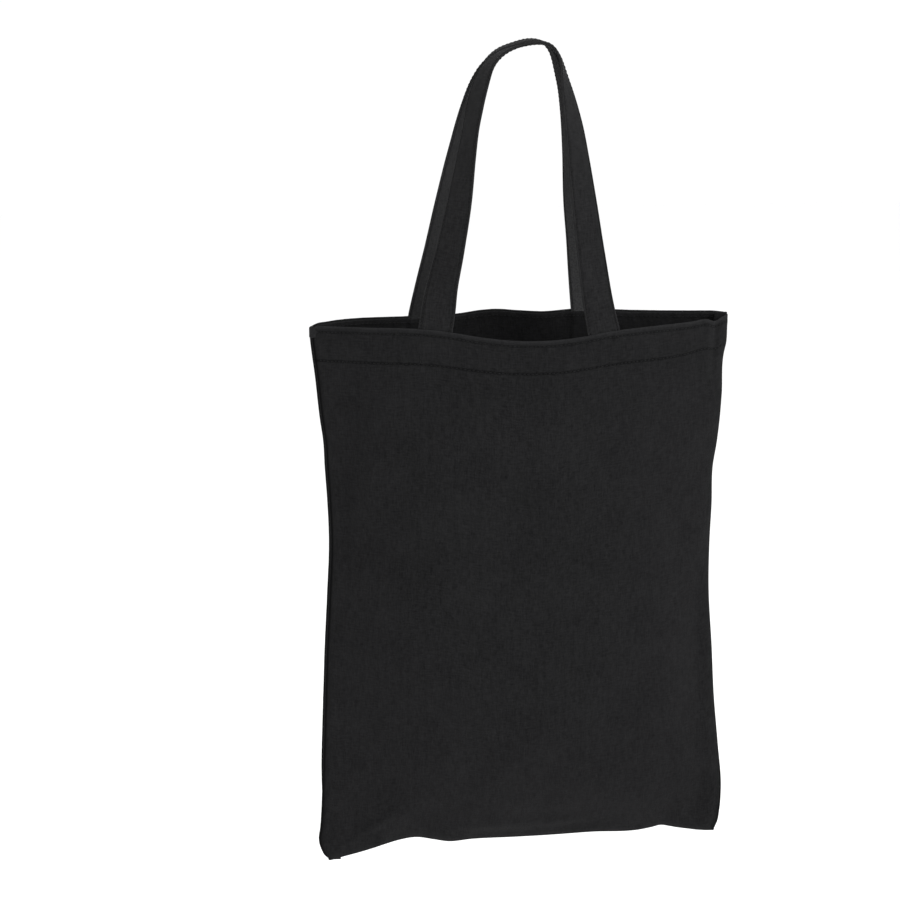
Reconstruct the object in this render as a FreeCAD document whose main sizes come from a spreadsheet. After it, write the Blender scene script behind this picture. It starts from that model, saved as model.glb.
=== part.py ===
import FreeCAD, Part
import math
import os

import Sketcher
from FreeCAD import Placement, Rotation, Vector

# A cloth tote bag that hangs by its two handles, mouth a little open.
#
# The frame: +X to the right along the bag's width, the front panel faces -Y, +Z is up.
# The origin is the hang point: midway between the two handles, level with the underside
# of their tops, where a hook or a hand carries the bag. The bag lies below it.

# ---------------------------------------------------------------- driving sizes, in mm

DRIVING_SIZES = (
    # the body, rim to bottom seam, and how wide it hangs between its side seams
    ("body_height", 415.0),
    ("mouth_width", 311.0),
    ("waist_width", 292.0),
    ("lower_width", 303.0),
    ("bottom_width", 315.0),
    ("waist_depth", 172.0),
    ("lower_depth", 300.0),
    ("turn_height", 32.0),
    # how far each panel stands out from the plane of the side seams
    ("mouth_front", 46.0),
    ("mouth_back", 33.0),
    ("waist_front", 50.0),
    ("waist_back", 40.0),
    ("lower_front", 41.0),
    ("lower_back", 33.0),
    ("turn_front", 17.0),
    ("turn_back", 14.0),
    # cloth and seams
    ("cloth_thickness", 1.0),
    ("seam_allowance", 8.0),
    ("seam_closing", 0.2),
    ("facing_height", 25.0),
    ("facing_end_gap", 2.0),
    # straps and handles
    ("strap_width", 25.0),
    ("strap_thickness", 2.0),
    ("strap_spacing", 122.0),
    ("strap_drop", 201.0),
    ("strap_tuck", 24.0),
    ("tuck_clearance", 0.5),
    ("arch_width", 60.0),
    ("handle_gap", 0.6),
    ("fold_gap", 4.0),
    # sewing thread
    ("thread_size", 0.6),
    ("thread_proud", 0.3),
    ("rim_row_depth", 3.5),
    ("hem_row_inset", 2.0),
    ("edge_row_inset", 2.0),
    ("seam_row_inset", 3.0),
    ("overlock_size", 1.2),
)

doc = FreeCAD.newDocument("tote_bag")
sheet = doc.addObject("Spreadsheet::Sheet", "Sizes")
for row, (alias, value) in enumerate(DRIVING_SIZES, start=1):
    sheet.set(f"A{row}", alias)
    sheet.set(f"B{row}", str(value))
    sheet.setAlias(f"B{row}", alias)
doc.recompute()


def number(expression):
    """What an expression over the sheet comes to, as a plain number."""
    return float(sheet.evalExpression(expression))


# ---------------------------------------------------------------- the bag's cross-section
# Seen from above, each wall of the bag is an arc between the two side seams. These are
# expressions over the sheet, so that what fits inside takes its shape from the same sizes.

FRONT, BACK = -1, 1
HANDS = (("left", -1), ("right", 1))

RIM = "(-Sizes.strap_drop)"
BOTTOM = f"({RIM} - Sizes.body_height)"
TUCK_GAP = "(Sizes.strap_thickness + 2 * Sizes.tuck_clearance)"
CLOTH = "Sizes.cloth_thickness"
BOTTOM_ROW = "(Sizes.bottom_width - 2 * Sizes.seam_allowance - 2 * Sizes.overlock_size)"

# name, height, half width, front bulge, back bulge
STATIONS = (
    ("rim", RIM, "Sizes.mouth_width / 2", "Sizes.mouth_front", "Sizes.mouth_back"),
    ("hem", f"{RIM} - Sizes.facing_height",
     "Sizes.mouth_width / 2", "Sizes.mouth_front", "Sizes.mouth_back"),
    ("waist", f"{RIM} - Sizes.waist_depth",
     "Sizes.waist_width / 2", "Sizes.waist_front", "Sizes.waist_back"),
    ("lower", f"{RIM} - Sizes.lower_depth",
     "Sizes.lower_width / 2", "Sizes.lower_front", "Sizes.lower_back"),
    ("turn", f"{BOTTOM} + Sizes.turn_height",
     "Sizes.bottom_width / 2", "Sizes.turn_front", "Sizes.turn_back"),
    ("bottom", BOTTOM, "Sizes.bottom_width / 2",
     f"({CLOTH} + Sizes.seam_closing)", f"({CLOTH} + Sizes.seam_closing)"),
)


def bulge_of(station, side):
    """The expression for how far a station's wall stands out on one side."""
    return station[3] if side == FRONT else station[4]


def radius(half, bulge):
    """Radius of an arc from its half chord and its height, as an expression."""
    return f"((({half})^2 + ({bulge})^2) / (2 * ({bulge})))"


def arc_height(half, bulge, across):
    """How far an arc stands out at a distance across from its middle, as an expression."""
    arc = radius(half, bulge)
    return f"(({bulge}) - {arc} + sqrt({arc}^2 - ({across})^2))"


# ---------------------------------------------------------------- sketching helpers


def new_body(label):
    """A PartDesign body that carries one sub-part."""
    body = doc.addObject("PartDesign::Body", label)
    body.Label = label
    return body


def level_sketch(body, name, height):
    """A sketch of the body on a level plane at a height given as an expression."""
    sketch = body.newObject("Sketcher::SketchObject", name)
    plane = next(f for f in body.Origin.OriginFeatures if f.Role == "XY_Plane")
    sketch.AttachmentSupport = [(plane, "")]
    sketch.MapMode = "FlatFace"
    sketch.setExpression("AttachmentOffset.Base.z", height)
    return sketch


def bind(sketch, kind, places, expression):
    """A dimension of the sketch that follows an expression over the sheet."""
    index = sketch.addConstraint(Sketcher.Constraint(kind, *places, number(expression)))
    sketch.setExpression(f"Constraints[{index}]", expression)


def draw_arc(sketch, side, half, bulge, lift="0"):
    """An arc from left to right, its ends lifted off the seam plane, its middle at the bulge.

    Gives the arc's number and which of its two ends is the left and the right one.
    """
    rise = f"(({bulge}) - ({lift}))"
    curve = radius(half, rise)
    turn = number(curve)
    centre = Vector(0, side * (number(bulge) - turn), 0)
    spread = math.atan2(number(half), turn - number(rise))
    middle = math.pi / 2 * side
    circle = Part.Circle(centre, Vector(0, 0, 1), turn)
    arc = sketch.addGeometry(Part.ArcOfCircle(circle, middle - spread, middle + spread))
    left, right = (1, 2) if side == FRONT else (2, 1)
    sketch.addConstraint(Sketcher.Constraint("PointOnObject", arc, 3, -2))
    bind(sketch, "Radius", (arc,), curve)
    bind(sketch, "DistanceX", (arc, left, arc, right), f"2 * ({half})")
    bind(sketch, "DistanceY", (-1, 1, arc, right), f"{side} * ({lift})")
    return arc, {-1: left, 1: right}


def draw_wall(sketch, side, outer, inner):
    """A wall's closed outline: its outer and inner arcs, joined by a corner at each end.

    Outer is the half width and the bulge of the outer arc, which ends on the seam plane.
    Inner has those and how far its ends are lifted off that plane.
    """
    far, far_ends = draw_arc(sketch, side, *outer)
    near, near_ends = draw_arc(sketch, side, *inner)
    for hand in (-1, 1):
        corner = Vector(hand * number(inner[0]), 0, 0)
        flat = sketch.addGeometry(Part.LineSegment(Vector(hand * number(outer[0]), 0, 0), corner))
        end = sketch.addGeometry(Part.LineSegment(corner, corner + Vector(0, side * number(inner[2]), 0)))
        sketch.addConstraint(Sketcher.Constraint("Coincident", flat, 1, far, far_ends[hand]))
        sketch.addConstraint(Sketcher.Constraint("Horizontal", flat))
        sketch.addConstraint(Sketcher.Constraint("Coincident", end, 1, flat, 2))
        sketch.addConstraint(Sketcher.Constraint("Vertical", end))
        sketch.addConstraint(Sketcher.Constraint("Coincident", end, 2, near, near_ends[hand]))


def draw_rectangle(sketch, wide, deep, across="0", out="0"):
    """A rectangle with its middle at a place across and out from the origin, bound to its sizes."""
    middle = Vector(number(across), number(out), 0)
    reach = Vector(number(wide) / 2, number(deep) / 2, 0)
    corners = [middle + Vector(x * reach.x, y * reach.y, 0)
               for x, y in ((-1, -1), (1, -1), (1, 1), (-1, 1))]
    for start, end in zip(corners, corners[1:] + corners[:1]):
        sketch.addGeometry(Part.LineSegment(start, end))
    for edge, way in enumerate(("Horizontal", "Vertical", "Horizontal", "Vertical")):
        sketch.addConstraint(Sketcher.Constraint("Coincident", edge, 2, (edge + 1) % 4, 1))
        sketch.addConstraint(Sketcher.Constraint(way, edge))
    bind(sketch, "DistanceX", (0, 1, 0, 2), wide)
    bind(sketch, "DistanceY", (1, 1, 1, 2), deep)
    bind(sketch, "DistanceX", (-1, 1, 1, 2), f"({across}) + ({wide}) / 2")
    bind(sketch, "DistanceY", (-1, 1, 1, 2), f"({out}) + ({deep}) / 2")


def loft(body, sketches, name="loft"):
    """A smooth solid through a body's sketches, in order."""
    solid = body.newObject("PartDesign::AdditiveLoft", f"{body.Name}_{name}")
    solid.Profile = sketches[0]
    solid.Sections = sketches[1:]
    solid.Ruled = False
    solid.Closed = False
    for sketch in sketches:
        sketch.Visibility = False
    return solid


def pad_down(body, sketch, length):
    """A solid from a level sketch straight down by a length given as an expression."""
    solid = body.newObject("PartDesign::Pad", f"{body.Name}_pad")
    solid.Profile = sketch
    solid.setExpression("Length", length)
    solid.Reversed = True
    return solid


# ---------------------------------------------------------------- the bag's cloth


def make_panel(label, side):
    """One outer panel: an arched wall at the mouth that closes to a flat seam at the bottom.

    The turned-in seam allowance fills the corner along each side, where the wall thickens to
    meet the other panel's in the plane of the side seams. The rest is one cloth thick.
    """
    body = new_body(label)
    sketches = []
    for station in STATIONS:
        name, height, half = station[:3]
        bulge = bulge_of(station, side)
        inside = f"(({half}) - Sizes.seam_allowance)"
        corner = f"max({arc_height(half, bulge, inside)} - {CLOTH}, Sizes.seam_closing / 2)"
        sketch = level_sketch(body, f"{label}_{name}", height)
        draw_wall(sketch, side, (half, bulge), (inside, f"({bulge}) - {CLOTH}", corner))
        sketches.append(sketch)
    loft(body, sketches)


def facing_arcs(side):
    """Outer and inner arc of a facing: inside its panel, clear of the tucked strap ends."""
    rim = STATIONS[0]
    half = f"(({rim[2]}) - Sizes.seam_allowance - {TUCK_GAP})"
    bulge = f"(({bulge_of(rim, side)}) - {CLOTH} - {TUCK_GAP})"
    inside = f"({half} - Sizes.facing_end_gap)"
    corner = f"{arc_height(half, bulge, inside)} / 2"
    return (half, bulge), (inside, f"({bulge} - {CLOTH})", corner)


def make_facing(label, side):
    """The hem's inner band of cloth, which covers the strap ends from the inside."""
    body = new_body(label)
    sketch = level_sketch(body, f"{label}_outline", RIM)
    draw_wall(sketch, side, *facing_arcs(side))
    pad_down(body, sketch, "Sizes.facing_height")


# ---------------------------------------------------------------- thread in the bag


def make_hem_row(label, side, depth):
    """A level row of stitches through panel, strap ends and facing, at a depth below the rim."""
    body = new_body(label)
    rim = STATIONS[0]
    inside, bulge, corner = facing_arcs(side)[1]
    outer = (rim[2], f"({bulge_of(rim, side)}) + Sizes.thread_proud")
    inner = (inside, f"{bulge} - Sizes.thread_proud", f"({corner}) / 2")
    sketch = level_sketch(body, f"{label}_outline", f"{RIM} - ({depth})")
    draw_wall(sketch, side, outer, inner)
    pad_down(body, sketch, "Sizes.thread_size")


def make_side_row(label, side, inset, wide, deep):
    """A line of thread that follows one side seam from rim to bottom, inset from its edge."""
    body = new_body(label)
    sketches = []
    for name, height, half, _, _ in STATIONS:
        sketch = level_sketch(body, f"{label}_{name}", height)
        draw_rectangle(sketch, wide, deep, f"{side} * (({half}) - ({inset}))")
        sketches.append(sketch)
    loft(body, sketches)


def make_bottom_row(label, rise, high, deep):
    """A straight line of thread along the bottom seam, a rise above it."""
    body = new_body(label)
    sketch = level_sketch(body, f"{label}_outline", f"{BOTTOM} + ({rise}) + ({high})")
    draw_rectangle(sketch, BOTTOM_ROW, deep)
    pad_down(body, sketch, high)


# ---------------------------------------------------------------- straps

TUCK_HALF = f"(Sizes.mouth_width / 2 - Sizes.seam_allowance - {TUCK_GAP} / 2)"
STRAP_AT = "(Sizes.strap_spacing / 2)"


def tuck_bulge(side):
    """Bulge of the arc midway between a panel and its facing, where the strap ends lie."""
    return f"({bulge_of(STATIONS[0], side)} - {CLOTH} - {TUCK_GAP} / 2)"


def tuck_depth(side):
    """How far a strap's foot stands from the plane of the side seams."""
    return arc_height(TUCK_HALF, tuck_bulge(side), STRAP_AT)


def tuck_slope(side):
    """The angle between a strap's foot and the X axis, which follows the rim's arc."""
    return f"asin({STRAP_AT} / {radius(TUCK_HALF, tuck_bulge(side))})"


def make_strap_end(label, side, hand):
    """The end of a strap, sewn in between panel and facing, its top level with the rim."""
    body = new_body(label)
    sketch = level_sketch(body, f"{label}_outline", RIM)
    draw_rectangle(sketch, "Sizes.strap_width", "Sizes.strap_thickness")
    pad_down(body, sketch, "Sizes.strap_tuck")
    body.setExpression("Placement.Base.x", f"{hand} * {STRAP_AT}")
    body.setExpression("Placement.Base.y", f"{side} * {tuck_depth(side)}")
    body.Placement.Rotation = Rotation(Vector(0, 0, 1), 1)
    body.setExpression("Placement.Rotation.Angle", f"{-side * hand} * {tuck_slope(side)}")


# How square the handle's arch is: 2 is an ellipse, more is squarer.
ARCH_POWER = 5
STEPS_PER_LEG = 8
# Where the sections round the arch's shoulder lie, as shares of the way from the top down to the leg.
SHOULDER_SHARES = (0.66, 0.4, 0.18)


def handle_stations(side):
    """Where a handle's strap lies, foot to foot: centre points and the strap's width directions.

    The legs lean in from the strap spacing to the arch's width, under a squarish arch. On the
    way up the strap makes a quarter turn about its own length, so that its outer face, flat
    with the rim at the feet, is the top face where the handle hangs.
    """
    reach = number(STRAP_AT)
    arch = number("Sizes.arch_width / 2")
    foot = number(f"{RIM} + Sizes.fold_gap")
    top = number("Sizes.strap_thickness / 2")
    foot_out = number(tuck_depth(side))
    top_out = number("(Sizes.strap_width + Sizes.handle_gap) / 2")
    slope = math.radians(number(tuck_slope(side)))

    def centre(turn):
        # turn runs from 0 at the left foot, through a half at the top, to 1 at the right foot
        angle = math.pi * turn
        rise = abs(math.sin(angle)) ** (2 / ARCH_POWER)
        squash = abs(math.cos(angle)) ** (2 / ARCH_POWER)
        across = (arch + (reach - arch) * (1 - rise)) * squash
        out = foot_out + (top_out - foot_out) * rise
        hand = -1 if turn < 0.5 else 1
        return Vector(hand * across, side * out, foot + (top - foot) * rise)

    # equal steps in height on the legs need uneven steps of the turn
    rises = [step / STEPS_PER_LEG for step in range(STEPS_PER_LEG)]
    leg = [math.asin(rise ** (ARCH_POWER / 2)) / math.pi for rise in rises]
    top_turn = 0.5
    shoulder = [top_turn - (top_turn - leg[-1]) * share for share in SHOULDER_SHARES]
    turns = leg + shoulder
    turns = turns + [top_turn] + [1 - turn for turn in reversed(turns)]
    points = [centre(turn) for turn in turns]
    lengths = [0.0]
    for before, after in zip(points, points[1:]):
        lengths.append(lengths[-1] + (after - before).Length)
    stations = []
    for index, point in enumerate(points):
        before = points[max(index - 1, 0)]
        after = points[min(index + 1, len(points) - 1)]
        along = (after - before).normalize()
        share = lengths[index] / lengths[-1]
        twist = slope + (math.pi - 2 * slope) * share
        across = Vector(math.cos(twist), side * math.sin(twist), 0)
        across = (across - along * across.dot(along)).normalize()
        stations.append((point, across, along))
    return stations


def make_handle_loft(label, side, wide, deep, shift="0"):
    """A band that follows a handle's line, the whole strap or one row of stitches near its edge."""
    body = new_body(label)
    sketches = []
    for index, (point, across, along) in enumerate(handle_stations(side)):
        sketch = level_sketch(body, f"{label}_{index:02d}", "0")
        sketch.setExpression("AttachmentOffset.Base.z", None)
        through = along.cross(across)
        turn = Rotation(across, through, along, "ZXY")
        sketch.AttachmentOffset = Placement(point, turn)
        draw_rectangle(sketch, wide, deep, shift)
        sketches.append(sketch)
    loft(body, sketches)


# ---------------------------------------------------------------- the whole bag

WALLS = (("front", FRONT), ("back", BACK))
THREAD = "Sizes.thread_size"
ROW_DEEP = "(Sizes.strap_thickness + 2 * Sizes.thread_proud)"
EDGE_SHIFT = "(Sizes.strap_width / 2 - Sizes.edge_row_inset)"

for wall, side in WALLS:
    make_panel(f"{wall}_panel", side)
    make_facing(f"{wall}_facing", side)
    make_hem_row(f"{wall}_rim_stitch", side, "Sizes.rim_row_depth")
    make_hem_row(f"{wall}_hem_stitch", side, "Sizes.facing_height - Sizes.hem_row_inset")
    for hand_name, hand in HANDS:
        make_strap_end(f"{wall}_{hand_name}_strap_end", side, hand)
    make_handle_loft(f"{wall}_handle_strap", side, "Sizes.strap_width", "Sizes.strap_thickness")
    make_handle_loft(f"{wall}_handle_outer_stitch", side, THREAD, ROW_DEEP, f"-{EDGE_SHIFT}")
    make_handle_loft(f"{wall}_handle_inner_stitch", side, THREAD, ROW_DEEP, EDGE_SHIFT)

for hand_name, hand in HANDS:
    make_side_row(f"{hand_name}_seam_stitch", hand, "Sizes.seam_row_inset", THREAD, CLOTH)
    make_side_row(f"{hand_name}_overlock_thread", hand,
                  "Sizes.seam_allowance + Sizes.overlock_size / 2",
                  "Sizes.overlock_size", "Sizes.overlock_size")
make_bottom_row("bottom_seam_stitch", "Sizes.seam_row_inset", THREAD, f"2 * {CLOTH}")
make_bottom_row("bottom_overlock_thread", "Sizes.seam_allowance",
                "Sizes.overlock_size", "Sizes.overlock_size")

doc.recompute()

# ---------------------------------------------------------------- check, then write

bodies = [item for item in doc.Objects if item.TypeId == "PartDesign::Body"]
for item in doc.Objects:
    if {"Invalid", "Error"} & set(item.State):
        raise RuntimeError(f"{item.Label} did not recompute: {item.State}")
for body in bodies:
    if body.Shape.isNull() or not body.Shape.isValid():
        raise RuntimeError(f"{body.Label} has no valid shape")
    if len(body.Shape.Solids) != 1:
        raise RuntimeError(f"{body.Label} is {len(body.Shape.Solids)} solids")

os.makedirs("parts", exist_ok=True)
for body in bodies:
    body.Shape.exportStep(os.path.join("parts", f"{body.Label}.step"))
    print(f"{body.Label}: {body.Shape.Volume / 1000:.2f} cm3")
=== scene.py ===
import math

import bpy
import numpy as np
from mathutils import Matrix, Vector


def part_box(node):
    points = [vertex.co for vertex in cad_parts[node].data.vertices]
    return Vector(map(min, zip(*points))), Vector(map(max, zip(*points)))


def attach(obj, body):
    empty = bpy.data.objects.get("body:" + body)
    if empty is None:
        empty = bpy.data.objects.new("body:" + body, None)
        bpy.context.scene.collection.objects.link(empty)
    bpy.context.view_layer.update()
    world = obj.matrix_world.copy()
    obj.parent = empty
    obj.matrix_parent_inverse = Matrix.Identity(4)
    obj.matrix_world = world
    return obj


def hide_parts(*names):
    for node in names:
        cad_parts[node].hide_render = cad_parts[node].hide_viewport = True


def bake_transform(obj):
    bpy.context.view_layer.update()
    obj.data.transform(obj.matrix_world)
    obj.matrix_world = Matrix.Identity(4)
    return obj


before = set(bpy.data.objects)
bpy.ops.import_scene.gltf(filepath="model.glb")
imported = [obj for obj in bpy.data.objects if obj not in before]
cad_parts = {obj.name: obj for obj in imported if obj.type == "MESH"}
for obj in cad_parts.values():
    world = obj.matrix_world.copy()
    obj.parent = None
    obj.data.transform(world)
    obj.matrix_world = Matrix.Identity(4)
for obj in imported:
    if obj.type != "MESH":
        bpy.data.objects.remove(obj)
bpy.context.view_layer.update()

# A black canvas tote bag that hangs by its two handles. All sizes are in metres.
# The front wall faces -Y. Depth is how far below the rim a point lies, and share runs
# from -1 at the left side seam to 1 at the right one.

front, back = -1, 1
wallName = {front: "front", back: "back"}
facingInset = 0.004  # from a wall's outer face to its facing's, in the frame

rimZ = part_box("front_panel")[1].z
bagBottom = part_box("front_panel")[0].z
bagHeight = rimZ - bagBottom
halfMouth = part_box("front_rim_stitch")[1].x
mouthOut = {front: -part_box("front_facing")[0].y + facingInset,
            back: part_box("back_facing")[1].y + facingInset}
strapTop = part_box("front_handle_strap")[1].z


# Camera, stage and light

view = {
    "aim": (-0.0524, 0.0, rimZ - 0.099),
    "azimuth": -6.0,
    "elevation": 14.5,
    "distance": 1.6,
    "lens": 85.3,
    "sensor": 36.0,
}


def addCamera(view):
    # Stands at a distance from its aim, along a direction given by azimuth and elevation
    azimuth, elevation = math.radians(view["azimuth"]), math.radians(view["elevation"])
    away = Vector((math.sin(azimuth) * math.cos(elevation),
                   -math.cos(azimuth) * math.cos(elevation),
                   math.sin(elevation)))
    camera = bpy.data.objects.new("camera", bpy.data.cameras.new("camera"))
    camera.data.lens = view["lens"]
    camera.data.sensor_width = view["sensor"]
    camera.location = Vector(view["aim"]) + away * view["distance"]
    camera.rotation_euler = away.to_track_quat("Z", "Y").to_euler()
    bpy.context.scene.collection.objects.link(camera)
    bpy.context.scene.camera = camera


def addAreaLight(name, place, size, power):
    # A soft box that looks at the middle of the bag
    light = bpy.data.objects.new(name, bpy.data.lights.new(name, "AREA"))
    light.data.size = size
    light.data.energy = power
    light.location = place
    middle = Vector((0, 0, rimZ - bagHeight / 2))
    light.rotation_euler = (light.location - middle).to_track_quat("Z", "Y").to_euler()
    bpy.context.scene.collection.objects.link(light)


studio = {
    "worldLight": 1.03,
    "floorDrop": 0.35,  # the floor lies this far below the hanging bag
    "floorReach": 6.0,
    "floorTone": (0.96, 0.96, 0.96, 1),
    "floorRoughness": 0.9,
    # place, size and power of each soft box
    "key": ((1.3, -1.5, 0.7), 1.1, 36.0),
    "fill": ((-1.8, -1.0, 0.2), 1.4, 10.0),
    "top": ((0.2, 0.5, 2.0), 1.6, 14.0),
}


def addStage(studio):
    # A pale floor under an even white sky, with three soft boxes
    world = bpy.data.worlds.new("studioWorld")
    world.use_nodes = True
    sky = world.node_tree.nodes["Background"]
    sky.inputs["Color"].default_value = (1, 1, 1, 1)
    sky.inputs["Strength"].default_value = studio["worldLight"]
    bpy.context.scene.world = world
    reach, level = studio["floorReach"], bagBottom - studio["floorDrop"]
    mesh = bpy.data.meshes.new("floor")
    mesh.from_pydata([(-reach, -reach, level), (reach, -reach, level),
                      (reach, reach, level), (-reach, reach, level)], [], [(0, 1, 2, 3)])
    floor = bpy.data.objects.new("floor", mesh)
    bpy.context.scene.collection.objects.link(floor)
    paint = bpy.data.materials.new("paleFloor")
    paint.use_nodes = True
    shader = paint.node_tree.nodes["Principled BSDF"]
    shader.inputs["Base Color"].default_value = studio["floorTone"]
    shader.inputs["Roughness"].default_value = studio["floorRoughness"]
    mesh.materials.append(paint)
    for name in ("key", "fill", "top"):
        addAreaLight(name + "Light", *studio[name])
    bpy.context.scene.view_settings.view_transform = "Standard"


addCamera(view)
addStage(studio)
print("camera, stage and light are set")


# Tools for surfaces


def smoothCurve(stations, at):
    # A cubic through the stations, with each one's slope taken from its neighbours; level past the ends
    knots, values = np.array(stations, float).T
    at = np.clip(at, knots[0], knots[-1])
    slopes = np.gradient(values, knots)
    cell = np.clip(np.searchsorted(knots, at) - 1, 0, len(knots) - 2)
    span = knots[cell + 1] - knots[cell]
    t = (at - knots[cell]) / span
    return ((2 * t**3 - 3 * t**2 + 1) * values[cell]
            + (t**3 - 2 * t**2 + t) * span * slopes[cell]
            + (3 * t**2 - 2 * t**3) * values[cell + 1]
            + (t**3 - t**2) * span * slopes[cell + 1])


def smoothStep(start, end, at):
    # 0 before start, 1 after end, and an even S between
    t = np.clip((at - start) / (end - start), 0, 1)
    return t * t * (3 - 2 * t)


def unit(vectors):
    return vectors / np.maximum(np.linalg.norm(vectors, axis=-1, keepdims=True), 1e-12)


def runLength(points, axis):
    # Distance walked along the grid from its first row or column
    steps = np.linalg.norm(np.diff(points, axis=axis), axis=-1)
    start = np.zeros_like(np.take(steps, [0], axis=axis))
    return np.cumsum(np.concatenate([start, steps], axis=axis), axis=axis)


def addObject(name, points, faces, material, uv=None, **shades):
    # One mesh piece; uv is given per point, in metres of cloth, and shades are named values per point
    mesh = bpy.data.meshes.new(name)
    mesh.from_pydata(np.asarray(points).reshape(-1, 3).tolist(), [], faces)
    mesh.update()
    mesh.polygons.foreach_set("use_smooth", np.ones(len(mesh.polygons), bool))
    if uv is not None:
        corners = np.zeros(len(mesh.loops), int)
        mesh.loops.foreach_get("vertex_index", corners)
        layer = mesh.uv_layers.new(name="cloth")
        layer.data.foreach_set("uv", uv.reshape(-1, 2)[corners].ravel().astype(np.float32))
    for shade, values in shades.items():
        layer = mesh.attributes.new(shade, "FLOAT", "POINT")
        layer.data.foreach_set("value", np.asarray(values, np.float32).ravel())
    mesh.materials.append(material)
    piece = bpy.data.objects.new(name, mesh)
    bpy.context.scene.collection.objects.link(piece)
    return piece


def gridFaces(rows, columns, flip=False, closed=False):
    # Quads between neighbouring rows and columns; closed joins the last column to the first
    index = np.arange(rows * columns).reshape(rows, columns)
    if closed:
        index = np.concatenate([index, index[:, :1]], axis=1)
    corners = [index[:-1, :-1], index[:-1, 1:], index[1:, 1:], index[1:, :-1]]
    if flip:
        corners.reverse()
    return np.stack(corners, -1).reshape(-1, 4).tolist()


def solidify(piece, thickness):
    # Gives a sheet its thickness, behind its outer face
    wall = piece.modifiers.new("thickness", "SOLIDIFY")
    wall.thickness = thickness
    wall.offset = -1
    wall.use_rim = True


# Materials


def addNode(tree, kind, inputs=None, **settings):
    # An input is either another node's output, which is linked, or a fixed value
    node = tree.nodes.new(kind)
    for key, value in settings.items():
        setattr(node, key, value)
    for key, value in (inputs or {}).items():
        if isinstance(value, bpy.types.NodeSocket):
            tree.links.new(value, node.inputs[key])
        else:
            node.inputs[key].default_value = value
    return node


def calc(tree, operation, *values):
    return addNode(tree, "ShaderNodeMath", dict(enumerate(values)),
                   operation=operation).outputs[0]


def mixColour(tree, factor, first, second):
    return addNode(tree, "ShaderNodeMix", {0: factor, 6: first, 7: second},
                   data_type="RGBA").outputs[2]


def noise(tree, place, scale, detail=2.0, stretch=(1, 1, 1)):
    spread = addNode(tree, "ShaderNodeMapping", {"Vector": place, "Scale": stretch}).outputs[0]
    return addNode(tree, "ShaderNodeTexNoise",
                   {"Vector": spread, "Scale": scale, "Detail": detail}).outputs["Fac"]


canvasLook = {
    "dark": (0.0020, 0.0020, 0.0022, 1),
    "light": (0.0124, 0.0124, 0.0129, 1),
    "wornAndLitTone": (0.024, 0.024, 0.025, 1),
    # painted shade tone for the stitch grooves and the side seams
    "creased": (0.0006, 0.0006, 0.0007, 1),
    "yarnPitch": 0.00056,
    "slubLength": 0.006,
    "streak": (320.0, 55.0, 1.0),  # streaks of the cloth to a metre, across and along the warp
    "cloudScale": 30.0,
    "fleckScale": 800.0,
    "roughness": (0.78, 0.12),  # least, and how much the slubs add
    "specular": 0.04,
    "sheen": 0.02,
    "sheenTint": (0.8, 0.8, 0.82, 1),
    "bump": 0.5,
    "bumpDepth": 0.00018,
}


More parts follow.
